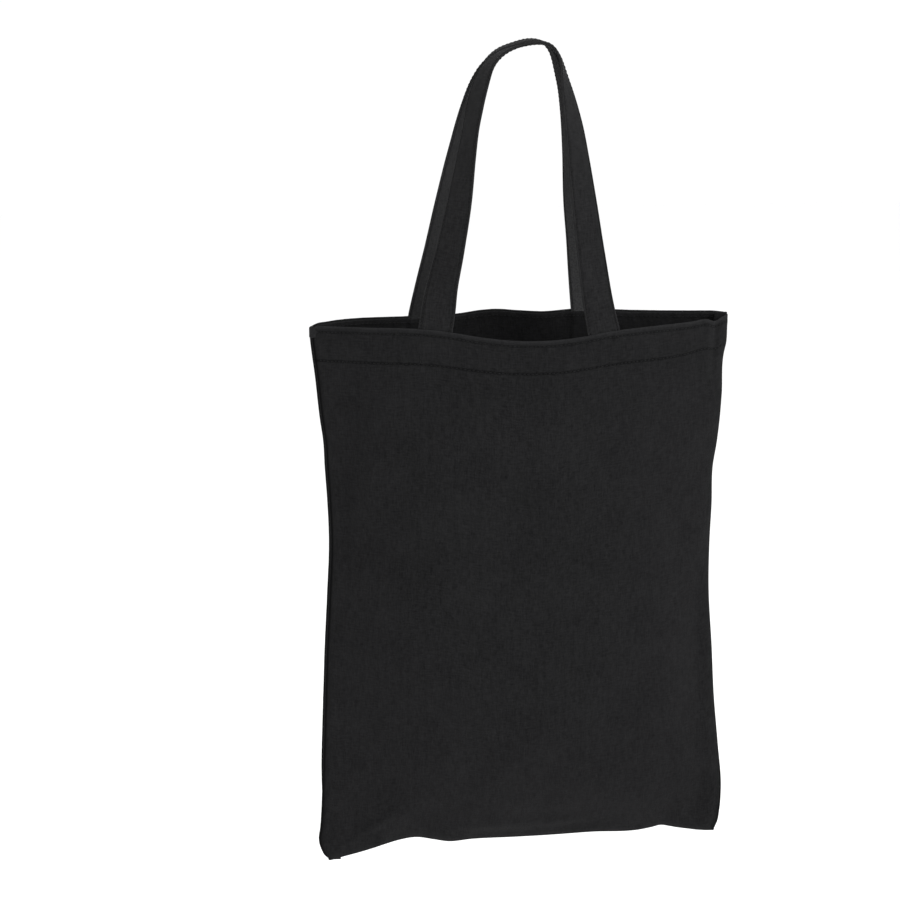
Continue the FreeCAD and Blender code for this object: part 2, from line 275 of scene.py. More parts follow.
def makeCanvas(name, look):
    # Plain-weave cotton: yarns cross over and under, thick and thin places run along them
    material = bpy.data.materials.new(name)
    material.use_nodes = True
    tree = material.node_tree
    shader = tree.nodes["Principled BSDF"]
    uv = addNode(tree, "ShaderNodeUVMap", uv_map="cloth").outputs[0]
    place = addNode(tree, "ShaderNodeTexCoord").outputs["Object"]

    wander = addNode(tree, "ShaderNodeTexNoise", {"Vector": uv, "Scale": 320.0, "Detail": 1.0})
    centred = addNode(tree, "ShaderNodeVectorMath",
                      {0: wander.outputs["Color"], 1: (0.5, 0.5, 0.5)},
                      operation="SUBTRACT").outputs[0]
    shifted = addNode(tree, "ShaderNodeVectorMath",
                      {0: centred, 1: (look["yarnPitch"],) * 3, 2: uv},
                      operation="MULTIPLY_ADD").outputs[0]
    turns = addNode(tree, "ShaderNodeVectorMath",
                    {0: shifted, "Scale": math.pi / look["yarnPitch"]},
                    operation="SCALE").outputs[0]
    parts = addNode(tree, "ShaderNodeSeparateXYZ", {0: turns})
    warp = calc(tree, "SINE", parts.outputs[0])
    weft = calc(tree, "SINE", parts.outputs[1])
    over = calc(tree, "MULTIPLY", calc(tree, "MULTIPLY", warp, weft), 1.5)
    warpTop = calc(tree, "MULTIPLY", calc(tree, "ABSOLUTE", warp),
                   calc(tree, "ADD", over, 1.0))
    weftTop = calc(tree, "MULTIPLY", calc(tree, "ABSOLUTE", weft),
                   calc(tree, "SUBTRACT", 1.0, over))
    weave = calc(tree, "MULTIPLY", calc(tree, "MAXIMUM", warpTop, weftTop), 0.6)

    along = 1 / look["slubLength"]
    acrossYarn = 0.6 / look["yarnPitch"]
    warpSlub = noise(tree, uv, 1.0, 1.0, (acrossYarn, along, 1))
    weftSlub = noise(tree, uv, 1.0, 1.0, (along, acrossYarn * 0.9, 1))
    slub = calc(tree, "ADD", warpSlub, weftSlub)
    streak = noise(tree, uv, 1.0, 3.0, look["streak"])
    cloud = noise(tree, place, look["cloudScale"], 5.0)
    fleck = noise(tree, place, look["fleckScale"], 2.0)

    # the tone is their weighted sum, about 0.5 in the middle
    tone = calc(tree, "MULTIPLY_ADD", slub, 0.8, -1.10)
    tone = calc(tree, "MULTIPLY_ADD", weave, 0.3, tone)
    tone = calc(tree, "MULTIPLY_ADD", streak, 0.5, tone)
    tone = calc(tree, "MULTIPLY_ADD", cloud, 0.4, tone)
    tone = calc(tree, "MULTIPLY_ADD", fleck, 0.5, tone)
    tone = addNode(tree, "ShaderNodeClamp", {0: tone}).outputs[0]
    colour = mixColour(tree, tone, look["dark"], look["light"])
    # Real wear at the rims and edges; on the back strap's inner face it is painted light, standing in
    # for light falling there
    wear = addNode(tree, "ShaderNodeAttribute", attribute_name="wear").outputs["Fac"]
    wearAndLightMix = calc(tree, "MULTIPLY", wear, calc(tree, "MULTIPLY_ADD", fleck, 1.2, 0.05))
    colour = mixColour(tree, wearAndLightMix, colour, look["wornAndLitTone"])
    # Painted shade: a near-black tone is mixed in along the stitch grooves and the side seams, where
    # shade falls
    crease = addNode(tree, "ShaderNodeAttribute", attribute_name="crease").outputs["Fac"]
    colour = mixColour(tree, crease, colour, look["creased"])
    tree.links.new(colour, shader.inputs["Base Color"])

    least, slubAdds = look["roughness"]
    roughness = calc(tree, "MULTIPLY_ADD", slub, slubAdds, least)
    tree.links.new(roughness, shader.inputs["Roughness"])
    shader.inputs["Specular IOR Level"].default_value = look["specular"]
    shader.inputs["Sheen Weight"].default_value = look["sheen"]
    shader.inputs["Sheen Roughness"].default_value = 0.5
    shader.inputs["Sheen Tint"].default_value = look["sheenTint"]
    relief = calc(tree, "MULTIPLY_ADD", slub, 0.5, weave)
    bump = addNode(tree, "ShaderNodeBump", {"Height": relief, "Strength": look["bump"],
                                            "Distance": look["bumpDepth"]})
    tree.links.new(bump.outputs[0], shader.inputs["Normal"])
    return material


threadLook = {
    "dark": (0.0025, 0.0025, 0.0028, 1),
    "light": (0.0085, 0.0085, 0.0090, 1),
    "plyScale": 2600.0,
    "roughness": (0.42, 0.25),  # least, and how much the plies add
    "specular": 0.12,
    "bumpDepth": 0.0001,
}


def makeThread(name, look):
    # Polyester sewing thread: fine plies with a slight shine
    material = bpy.data.materials.new(name)
    material.use_nodes = True
    tree = material.node_tree
    shader = tree.nodes["Principled BSDF"]
    place = addNode(tree, "ShaderNodeTexCoord").outputs["Object"]
    plies = noise(tree, place, look["plyScale"], 2.0, (1.0, 0.8, 1.6))
    colour = mixColour(tree, plies, look["dark"], look["light"])
    tree.links.new(colour, shader.inputs["Base Color"])
    least, pliesAdd = look["roughness"]
    roughness = calc(tree, "MULTIPLY_ADD", plies, pliesAdd, least)
    tree.links.new(roughness, shader.inputs["Roughness"])
    shader.inputs["Specular IOR Level"].default_value = look["specular"]
    bump = addNode(tree, "ShaderNodeBump", {"Height": plies, "Strength": 0.5,
                                            "Distance": look["bumpDepth"]})
    tree.links.new(bump.outputs[0], shader.inputs["Normal"])
    return material


bodyCanvas = makeCanvas("blackCanvas", canvasLook)
# The strap's worn tone is pale enough to serve also as painted light on the back strap's inner face
strapCanvas = makeCanvas("blackStrapCanvas", {
    **canvasLook,
    "light": (0.0150, 0.0150, 0.0155, 1),
    "wornAndLitTone": (0.052, 0.052, 0.053, 1),
})
thread = makeThread("blackThread", threadLook)
print("materials are made")


# The walls

wall = {
    "clothThickness": 0.0007,
    "roundness": 0.8,  # power of the arch: 1 is a lens, 0.5 an ellipse
    "rimRoll": 0.0008,  # radius of the turned rim
    "rimTurnIn": 0.007,
    "seamRoll": 0.0012,  # radius of the turn at a seam
    "seamGap": -0.00002,  # the two allowances press into each other this much
    "seamAllowance": 0.008,
    "turnSteps": 7,
    "hemDepth": 0.0275,
    "rimRowDepth": 0.0035,
    "hemRowDepth": 0.0246,
    "hemRowSlant": -0.0060,  # the row comes this much nearer the rim per metre to the right
    "hemRowLift": 0.0030,  # and this much nearer still at the right seam
    "hemPuff": 0.0006,  # how far the wall stands out over the hem
    "rowDip": 0.0006,  # how far a row of stitches pulls the cloth in
    "rowDipWidth": 0.0010,
    # wave length, reach and height of the pleats at each kind of seam
    "rowPucker": (0.011, 0.0045, 0.00020),
    "sidePucker": (0.017, 0.009, 0.00035),
    "bottomPucker": (0.021, 0.008, 0.0004),
    "puckerInset": 0.003,
    "strapLift": 0.0004,  # how far the sewn-in strap ends push the wall out
    "flat": (0.336, 0.432),
}
edgeOut = wall["seamGap"] + 2 * wall["seamRoll"]

# How far each side seam lies to the right of the mouth's corner, by depth
leftSeam = (
    (0.0, 0.0016), (0.004, 0.0018), (0.040, 0.0055), (0.072, 0.0085), (0.090, 0.0108),
    (0.109, 0.0116), (0.137, 0.0132), (0.165, 0.0140), (0.213, 0.0118), (0.252, 0.0095),
    (0.290, 0.0078), (0.350, 0.0050), (0.390, 0.0024), (0.400, 0.0012), (0.407, 0.0032),
    (0.412, 0.0058), (0.415, 0.0090),
)
rightSeam = (
    (0.0, -0.0010), (0.003, -0.0003), (0.008, -0.0004), (0.022, -0.0009), (0.027, -0.0020),
    (0.061, -0.0029), (0.080, -0.0039), (0.098, -0.0056), (0.114, -0.0079), (0.146, -0.0080),
    (0.174, -0.0087), (0.213, -0.0082), (0.262, -0.0043), (0.303, -0.0013), (0.343, 0.0031),
    (0.380, 0.0068), (0.400, 0.0061), (0.410, 0.0045), (0.415, 0.0020),
)
# How far the middle of each wall stands out, by depth
bulge = {
    front: ((0.0, mouthOut[front]), (0.030, mouthOut[front] + 0.0015), (0.090, 0.0495),
            (0.172, 0.050), (0.300, 0.041), (0.350, 0.031), (0.385, 0.018), (0.405, 0.0075),
            (0.415, edgeOut)),
    back: ((0.0, mouthOut[back]), (0.030, mouthOut[back] + 0.001), (0.090, 0.037),
           (0.172, 0.040), (0.300, 0.033), (0.350, 0.026), (0.385, 0.015), (0.405, 0.0065),
           (0.415, edgeOut)),
}
# How far the rim lies above its level in the frame, and the bottom edge below its own, by x
rimLine = {
    front: ((-0.156, -0.0045), (-0.151, -0.0024), (-0.140, -0.0012), (-0.114, -0.0002),
            (-0.081, 0.0004), (-0.066, -0.0004), (-0.052, -0.0024), (-0.035, -0.0052),
            (-0.005, -0.0082), (0.023, -0.0080), (0.043, -0.0060), (0.056, -0.0040),
            (0.069, -0.0030), (0.093, -0.0020), (0.126, -0.0012), (0.138, -0.0008),
            (0.1455, -0.0032), (0.151, -0.0008), (0.156, 0.0002)),
    back: ((-0.156, -0.0045), (-0.151, -0.0024), (-0.143, -0.0016), (-0.078, -0.0020),
           (-0.043, -0.0014), (-0.025, 0.0006), (-0.016, 0.0010), (0.003, -0.0005),
           (0.021, -0.0015), (0.047, 0.0004), (0.091, -0.0004), (0.110, -0.0002),
           (0.136, 0.0008), (0.148, 0.0014), (0.156, 0.0010)),
}
bottomLine = (
    (-0.152, 0.0122), (-0.146, 0.0118), (-0.137, 0.0095), (-0.125, 0.0066), (-0.112, 0.0030),
    (-0.105, 0.0008), (-0.092, -0.0028), (-0.080, -0.0044), (-0.065, -0.0018), (-0.055, 0.0002),
    (-0.035, -0.0010), (0.0, -0.0013), (0.020, -0.0015), (0.060, -0.0024), (0.100, -0.0026),
    (0.109, -0.0042), (0.1155, -0.0056), (0.122, -0.0044), (0.129, -0.0028), (0.138, -0.0012),
    (0.147, 0.0002), (0.157, 0.0010), (0.163, 0.0),
)

# Soft folds: x and depth of both ends, half width, and how far they stand out
folds = {
    front: (
        (-0.122, 0.062, -0.133, 0.190, 0.007, -0.0036),
        (-0.114, 0.050, -0.120, 0.200, 0.009, 0.0022),
        (-0.009, 0.085, -0.011, 0.170, 0.013, -0.0030),
        (0.026, 0.060, 0.030, 0.190, 0.018, 0.0028),
        (-0.062, 0.030, -0.050, 0.260, 0.022, 0.0018),
        (0.062, 0.030, 0.085, 0.240, 0.024, 0.0016),
        (0.110, 0.255, 0.113, 0.350, 0.018, 0.0030),
        (0.138, 0.240, 0.146, 0.405, 0.012, -0.0040),
        (-0.140, 0.200, -0.128, 0.380, 0.012, -0.0014),
        (-0.100, 0.170, -0.075, 0.340, 0.022, 0.0018),
        (-0.040, 0.401, 0.055, 0.401, 0.006, 0.0018),
        (-0.137, 0.408, -0.100, 0.388, 0.005, 0.0026),
        (-0.130, 0.380, -0.112, 0.412, 0.006, -0.0030),
        (0.010, 0.270, 0.040, 0.380, 0.018, 0.0016),
        (-0.030, 0.300, -0.055, 0.390, 0.014, -0.0014),
        (0.095, 0.060, 0.128, 0.200, 0.012, -0.0012),
        (0.122, 0.392, 0.126, 0.414, 0.006, -0.0020),
        (-0.099, 0.004, -0.088, 0.026, 0.0024, 0.0011),
        (-0.094, 0.004, -0.083, 0.027, 0.0022, -0.0012),
        (-0.080, 0.012, -0.076, 0.030, 0.0022, -0.0009),
        (0.1455, 0.000, 0.1445, 0.034, 0.0026, -0.0024),
        (0.1385, 0.000, 0.1370, 0.040, 0.0040, 0.0014),
    ),
    back: (
        (-0.070, 0.030, -0.052, 0.240, 0.022, 0.0020),
        (0.060, 0.030, 0.070, 0.260, 0.024, 0.0018),
        (0.000, 0.060, -0.008, 0.250, 0.020, -0.0024),
        (0.118, 0.040, 0.130, 0.230, 0.010, -0.0018),
        (-0.118, 0.060, -0.128, 0.210, 0.010, -0.0018),
        (-0.108, 0.240, -0.120, 0.370, 0.018, 0.0022),
        (0.100, 0.230, 0.118, 0.350, 0.018, 0.0022),
        (0.030, 0.260, 0.012, 0.380, 0.018, 0.0018),
        (-0.040, 0.280, -0.050, 0.390, 0.014, -0.0016),
        (0.060, 0.360, 0.048, 0.412, 0.008, -0.0018),
        (-0.060, 0.403, 0.040, 0.401, 0.006, 0.0014),
    ),
}
# The cloth's own unevenness: length and height of its waves
clothWaves = ((0.15, 0.0010), (0.09, 0.0007), (0.055, 0.00045), (0.032, 0.00022), (0.019, 0.0001))
# How far a wall rolls out past its side seam: the back wall at the left, the front one at the right
seamRolls = {(back, -1): 0.0085, (front, 1): 0.0035}
strapFeet = {front: (-0.0672, 0.056), back: (-0.069, 0.055)}
strap = {
    "width": 0.025,
    "thickness": 0.002,
    "tuck": 0.024,  # how far the ends reach down between wall and facing
    "inset": 0.0026,  # from the wall's outer face to the middle of the strap's foot
    "rowInset": 0.0018,  # from the strap's edge to its row of stitches
    "rowGroove": 0.34,  # share of the thickness that a row of stitches presses in
    "sectionPoints": 27,
    "foldHeight": 0.024,  # the strap bends over the rim within this height
    "topApart": 0.0128,  # middle of each strap from the bag's middle plane where they hang
    "topTilt": 0.12,  # where it hangs, the front strap's outer edge lies a little higher
    "topTiltReach": 0.050,
}


def hemRowAt(x):
    # Depth of the hem's row: a slanting line that rises near the right seam
    lift = wall["hemRowLift"] * smoothStep(0.105, 0.150, x)
    return wall["hemRowDepth"] + wall["hemRowSlant"] * x - lift


def foldRelief(side, x, depth):
    # Each fold is a ridge, lower at its ends: height times exp(-(distance from its line / half width)^2)
    relief = np.zeros_like(x + depth)
    for x0, d0, x1, d1, halfWidth, height in folds[side]:
        along = np.array([x1 - x0, d1 - d0])
        t = np.clip(((x - x0) * along[0] + (depth - d0) * along[1]) / (along @ along), 0, 1)
        away = np.hypot(x - x0 - t * along[0], depth - d0 - t * along[1])
        fade = 1 - 0.45 * (2 * t - 1) ** 2
        relief += height * fade * np.exp(-((away / halfWidth) ** 2))
    return relief


def wavyRelief(side, x, depth):
    # A sum of slanted waves, three of each length
    rng = np.random.default_rng(7 + side)
    relief = np.zeros_like(x + depth)
    for waveLength, height in clothWaves:
        for _ in range(3):
            slant = rng.uniform(-0.9, 0.9)
            phase = rng.uniform(0, 2 * math.pi, 2)
            run = (x * math.cos(slant) + depth * math.sin(slant)) / waveLength
            cross = (depth * math.cos(slant) - x * math.sin(slant)) / (waveLength * 2.3)
            relief += (height * np.sin(run * 2 * math.pi + phase[0])
                       * (0.6 + 0.4 * np.sin(cross * 2 * math.pi + phase[1])))
    return relief


def puckers(along, away, waveLength, reach, height, seed):
    # Little pleats across a row of stitches: waves along it that die out with the distance from it
    rng = np.random.default_rng(seed)
    phase = rng.uniform(0, 2 * math.pi, 3)
    wave = (np.sin(along / waveLength * 2 * math.pi + phase[0])
            + 0.8 * np.sin(along / (waveLength * 0.61) * 2 * math.pi + phase[1])
            + 0.7 * np.sin(along / (waveLength * 1.9) * 2 * math.pi + phase[2]))
    return height * wave * np.exp(-np.abs(away) / reach)


def strapPrint(side, x, depth):
    # 1 over the sewn-in strap ends, 0 elsewhere
    half = strap["width"] / 2
    over = sum(smoothStep(half + 0.0025, half - 0.001, np.abs(x - foot)) for foot in strapFeet[side])
    return over * smoothStep(strap["tuck"] + 0.002, strap["tuck"] - 0.001, depth)


def wallOut(side, share, x, depth):
    # How far the wall stands out: bulge(depth) * (1 - share^2)^roundness, with folds, hem and puckers
    arch = np.maximum(1 - share**2, 0) ** wall["roundness"]
    out = edgeOut + (smoothCurve(bulge[side], depth) - edgeOut) * arch
    free = smoothStep(0, 0.10, 1 - np.abs(share)) * smoothStep(bagHeight, bagHeight - 0.012, depth)
    calm = 0.25 + 0.75 * smoothStep(0, 0.05, depth)
    out = out + (foldRelief(side, x, depth) + wavyRelief(side, x, depth) * calm) * free
    hem = smoothStep(0.0022, 0.0, depth - hemRowAt(x))
    seamFade = smoothStep(0, 0.012, 1 - np.abs(share))
    out = out + wall["hemPuff"] * hem * seamFade
    for row, depthOfRow in enumerate((wall["rimRowDepth"], hemRowAt(x))):
        away = depth - depthOfRow
        out = out - wall["rowDip"] * np.exp(-((away / wall["rowDipWidth"]) ** 2)) * seamFade
        out = out + puckers(x, away, *wall["rowPucker"], 20 + row + side) * seamFade
    out = out + wall["strapLift"] * strapPrint(side, x, depth)
    seamAway = halfMouth * (1 - np.abs(share)) - wall["puckerInset"]
    out = out + puckers(depth, seamAway, *wall["sidePucker"], 40 + side) * seamFade
    bottomAway = bagHeight - depth
    bottomPleats = puckers(x, bottomAway - wall["puckerInset"], *wall["bottomPucker"], 45 + side)
    return out + bottomPleats * smoothStep(0, 0.006, bottomAway)


def seamRollOut(side, share, depth):
    # Beside its seam a wall stands out past the seam line before it turns away
    near = halfMouth * (1 - np.abs(share))
    rolled = 0
    for (rollSide, hand), size in seamRolls.items():
        if rollSide != side:
            continue
        here = (np.sign(share) == hand) * smoothStep(bagHeight, bagHeight - 0.08, depth)
        rolled = rolled + hand * here * size * (1 - np.exp(-near / 0.002)) * np.exp(-near / 0.010)
    return rolled


def wallX(side, share, depth):
    # Even steps between the two side seams, whose places change with depth
    left = -halfMouth + smoothCurve(leftSeam, depth)
    right = halfMouth + smoothCurve(rightSeam, depth)
    return left + (right - left) * (share + 1) / 2 + seamRollOut(side, share, depth)


def wallZ(side, x, depth):
    # Straight down from the rim's line to the bottom edge's line
    rise = smoothCurve(rimLine[side], x) * np.exp(-depth / 0.14)
    sag = smoothCurve(bottomLine, x) * smoothStep(bagHeight - 0.11, bagHeight, depth)
    return rimZ + rise - depth - sag


def wallPoint(side, share, depth):
    # The wall's outer face at (share, depth)
    share, depth = np.broadcast_arrays(np.asarray(share, float), np.asarray(depth, float))
    x = wallX(side, share, depth)
    out = wallOut(side, share, x, depth)
    return np.stack([x, side * out, wallZ(side, x, depth)], -1)


def wallNormal(side, share, depth):
    # Outward normal from the wall's slopes across and down
    small = 1e-4
    across = wallPoint(side, share + small, depth) - wallPoint(side, share - small, depth)
    down = wallPoint(side, share, depth + small) - wallPoint(side, share, depth - small)
    return unit(np.cross(across, down) * side)


def turnOver(radius, straight, steps):
    # A half turn, then a straight run: how far back it has come and how far past the edge it is
    angle = np.linspace(0, math.pi, steps)[1:]
    run = straight * np.linspace(0, 1, steps)[1:]
    backed = np.concatenate([radius * (1 - np.cos(angle)), np.full(steps - 1, 2 * radius)])
    past = np.concatenate([radius * np.sin(angle), -run])
    return backed, past


panelGrid = {
    "columns": 146,
    "sideCrowding": 0.28,  # how much closer the columns stand near the side seams
    # first depth, last depth and step of each stretch of rows
    "rows": ((0, 0.0065, 0.0005), (0.0075, 0.0185, 0.0016), (0.0195, 0.0290, 0.0005),
             (0.0305, bagHeight - 0.018, 0.0024),
             (bagHeight - 0.017, bagHeight - 0.0005, 0.0011)),
}
# Strength and reach of the rubbed places, of the painted shade in the rim and hem row grooves, and of
# the painted shadow along the side seams
panelShade = {
    "rimWear": {front: (0.45, 0.0012), back: (0.1, 0.0012)},
    "bottomWear": (0.35, 0.0016),
    "hemGrooveShade": (0.75, 0.0009),
    "rimGrooveShade": (0.5, 0.0008),
    "seamShadow": (0.8, 0.0010),
}


def fadeFrom(away, strengthAndReach):
    # strength * exp(-distance / reach)
    strength, reach = strengthAndReach
    return strength * np.exp(-away / reach)


def lineOn(away, strengthAndReach):
    # strength * exp(-(distance / reach)^2)
    strength, reach = strengthAndReach
    return strength * np.exp(-((away / reach) ** 2))


def buildPanel(side):
    # One cut of cloth: the wall, its rim turned in, and its allowances turned in at three seams
    t = np.linspace(-1, 1, panelGrid["columns"])
    share = t * (1 + panelGrid["sideCrowding"] * (1 - t * t))
    depth = np.concatenate([np.arange(*stretch) for stretch in panelGrid["rows"]] + [[bagHeight]])
    backed, past = turnOver(wall["seamRoll"], wall["seamAllowance"], wall["turnSteps"])
    extra = len(backed)
    shareAll = np.concatenate([np.full(extra, -1.0), share, np.full(extra, 1.0)])
    backedAll = np.concatenate([backed[::-1], np.zeros(len(share)), backed])
    pastAll = np.concatenate([-past[::-1], np.zeros(len(share)), past])
    depthAll = np.concatenate([depth, np.full(extra, bagHeight)])
    backedDown = np.concatenate([np.zeros(len(depth)), backed])
    pastDown = np.concatenate([np.zeros(len(depth)), past])

    x = wallX(side, shareAll[None], depthAll[:, None])
    out = wallOut(side, shareAll[None], x, depthAll[:, None])
    z = wallZ(side, x, depthAll[:, None]) - pastDown[:, None]
    out = (out - backedAll[None]) * (edgeOut - backedDown[:, None]) / edgeOut
    points = np.stack([x + pastAll[None], side * out, z], -1)

    # the rim turns inwards over itself
    tangent = unit(np.gradient(points[0], axis=0) * (1, 1, 0))
    inwards = -side * np.stack([-tangent[:, 1], tangent[:, 0], 0 * tangent[:, 0]], -1)
    backedIn, pastUp = turnOver(wall["rimRoll"], wall["rimTurnIn"], wall["turnSteps"])
    room = smoothStep(0, 0.02, 1 - np.abs(shareAll))[None, :, None]
    turned = (points[0][None] + inwards[None] * backedIn[::-1, None, None] * room
              + np.array([0, 0, 1.0]) * pastUp[::-1, None, None])
    points = np.concatenate([turned, points], axis=0)

    middle = len(shareAll) // 2
    along = runLength(points, 1)
    down = runLength(points, 0)
    uv = np.stack([along - along[:, middle:middle + 1], down], -1)
    depthRow = np.concatenate([np.zeros(len(backedIn)), depthAll])[:, None]
    wear = (fadeFrom(depthRow, panelShade["rimWear"][side])
            + fadeFrom(bagHeight - depthRow, panelShade["bottomWear"]) + 0 * shareAll[None])
    rowX = wallX(side, shareAll[None], depthRow)
    # Painted shade along the grooves of the rim and hem rows, and a painted shadow along each side seam
    crease = (lineOn(depthRow - hemRowAt(rowX), panelShade["hemGrooveShade"])
              + lineOn(depthRow - wall["rimRowDepth"], panelShade["rimGrooveShade"])
              + fadeFrom((1 - np.abs(shareAll[None])) * halfMouth, panelShade["seamShadow"]))
    crease = np.clip(crease, 0, 1) * (depthRow > 0)
    faces = gridFaces(*points.shape[:2], flip=side == front)
    piece = addObject(wallName[side] + "_canvas_panel", points, faces, bodyCanvas, uv,
                      wear=wear, crease=crease)
    solidify(piece, wall["clothThickness"])
    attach(piece, "bag")
    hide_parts(wallName[side] + "_panel")
    return piece


calmDepth = 0.012  # the hem's own direction is taken here, between its two rows
facing = {
    "flat": (0.318, 0.038),
    "endShare": 0.965,
    "topDrop": 0.0005,  # from the rim to the facing's top edge
    "turnUnder": 0.006,
    "offset": 0.0033,  # its visible face, behind the wall's outer face
    "strapRoom": 0.0021,  # how much further in it lies over the strap ends
    "columns": 170,
    "rowDip": (0.0004, 0.0009),  # depth and width of the dip at each row of stitches
    "edgeWear": (0.1, 0.0012),
}


def buildFacing(side):
    # The hem's inner band: its face looks into the bag and both its long edges turn under
    share = np.linspace(-facing["endShare"], facing["endShare"], facing["columns"])
    roll = wall["rimRoll"]
    backed, past = turnOver(roll, facing["turnUnder"], wall["turnSteps"])
    level = np.concatenate([np.arange(0.0, 0.0055, 0.0006), np.arange(0.007, 0.0215, 0.0018),
                            np.arange(0.0222, wall["hemDepth"] - 2 * roll, 0.0005)])
    top = facing["topDrop"] + roll
    depth = np.concatenate([top - past[::-1], top + level, top + level[-1] + past])
    lift = np.concatenate([-backed[::-1], 0 * level, -backed])
    rimX = wallX(side, share[None], 0 * share[None])
    room = facing["strapRoom"] * strapPrint(side, rimX, np.clip(depth[:, None], 0, 0.02))
    below = np.clip(depth, 0, None)[:, None]
    base = wallPoint(side, share[None], below + 0 * share[None])
    outwards = wallNormal(side, share[None], np.full((len(depth), 1), calmDepth))
    rowDip = sum(lineOn(depth[:, None] - row, facing["rowDip"])
                 for row in (wall["rimRowDepth"], hemRowAt(rimX)))
    offset = facing["offset"] + lift[:, None] + room - rowDip
    points = base - outwards * offset[..., None]
    points[..., 2] += below - depth[:, None]
    uv = np.stack([runLength(points, 1), runLength(points, 0)], -1)
    wear = fadeFrom(np.abs(depth[:, None] - top), facing["edgeWear"]) + 0 * share[None]
    piece = addObject(wallName[side] + "_canvas_facing", points,
                      gridFaces(*points.shape[:2], flip=side == back), bodyCanvas, uv, wear=wear)
    solidify(piece, wall["clothThickness"])
    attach(piece, "bag")
    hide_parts(wallName[side] + "_facing")
    return piece


panels = {side: buildPanel(side) for side in (front, back)}
facings = {side: buildFacing(side) for side in (front, back)}
print("walls and facings are made")


# Straps

strapPath = {
    # x and height above the rim of the strap's middle line, from the left foot to the right one
    front: ((-0.0672, 0.0), (-0.0655, 0.009), (-0.0632, 0.024), (-0.0554, 0.057),
            (-0.0480, 0.092), (-0.0420, 0.127), (-0.0382, 0.148), (-0.0345, 0.165),
            (-0.0304, 0.178), (-0.0252, 0.1885), (-0.0165, 0.1960), (-0.0040, 0.2005),
            (0.0085, 0.2030), (0.0185, 0.2012), (0.0240, 0.1952), (0.0268, 0.1870),
            (0.0284, 0.178), (0.0308, 0.168), (0.0337, 0.154), (0.0362, 0.140),
            (0.0381, 0.126), (0.0426, 0.091), (0.0469, 0.056), (0.0530, 0.014), (0.0560, 0.0)),
    back: ((-0.0690, 0.0), (-0.0640, 0.027), (-0.0592, 0.050), (-0.0520, 0.087),
           (-0.0454, 0.123), (-0.0412, 0.145), (-0.0375, 0.160), (-0.0332, 0.175),
           (-0.0268, 0.187), (-0.0170, 0.1955), (-0.0040, 0.2002), (0.0085, 0.2030),
           (0.0185, 0.2012), (0.0240, 0.1952), (0.0268, 0.1870), (0.0290, 0.178),
           (0.0312, 0.170), (0.0335, 0.157), (0.0385, 0.123), (0.0433, 0.085),
           (0.0487, 0.047), (0.0540, 0.009), (0.0550, 0.0)),
}
# Turn of the strap about its length, in degrees, by share of the loop
strapTwist = {
    front: ((0.03, 13), (0.07, 30), (0.125, 41), (0.20, 51), (0.28, 65), (0.325, 70), (0.36, 69),
            (0.40, 72), (0.43, 80), (0.5, 92), (0.57, 102), (0.60, 112), (0.625, 119),
            (0.66, 127), (0.72, 136), (0.77, 142), (0.875, 153), (0.97, 164)),
    back: ((0.05, 17), (0.105, 25), (0.19, 33), (0.265, 45), (0.315, 55), (0.36, 62), (0.42, 76),
           (0.5, 90), (0.60, 95), (0.655, 99), (0.735, 111), (0.815, 128), (0.895, 140), (0.97, 163)),
}


def shareAlong(points):
    # Distance walked along a line, from 0 at its start to 1 at its end
    lengths = runLength(points[None], 1)[0]
    return lengths / lengths[-1]


def strapTails(side):
    # The sewn-in ends follow the wall down; footTurn is how the wall is turned there, in degrees
    drop = np.linspace(0.0012, strap["tuck"], 20)
    reach = strap["width"] / 2 / halfMouth
    tails, footTurn = [], []
    for foot, hand in zip(strapFeet[side], (1, -1)):
        share = foot / halfMouth
        normal = wallNormal(side, np.full_like(drop, share), np.full_like(drop, calmDepth))
        tails.append(wallPoint(side, share, drop) - normal * strap["inset"])
        across = wallPoint(side, share + reach, drop) - wallPoint(side, share - reach, drop)
        across = across.mean(0) * hand
        footTurn.append(math.degrees(math.atan2(side * across[1], across[0])) % 360)
    if footTurn[0] >= 180:
        footTurn[0] -= 360
    return tails, drop, footTurn


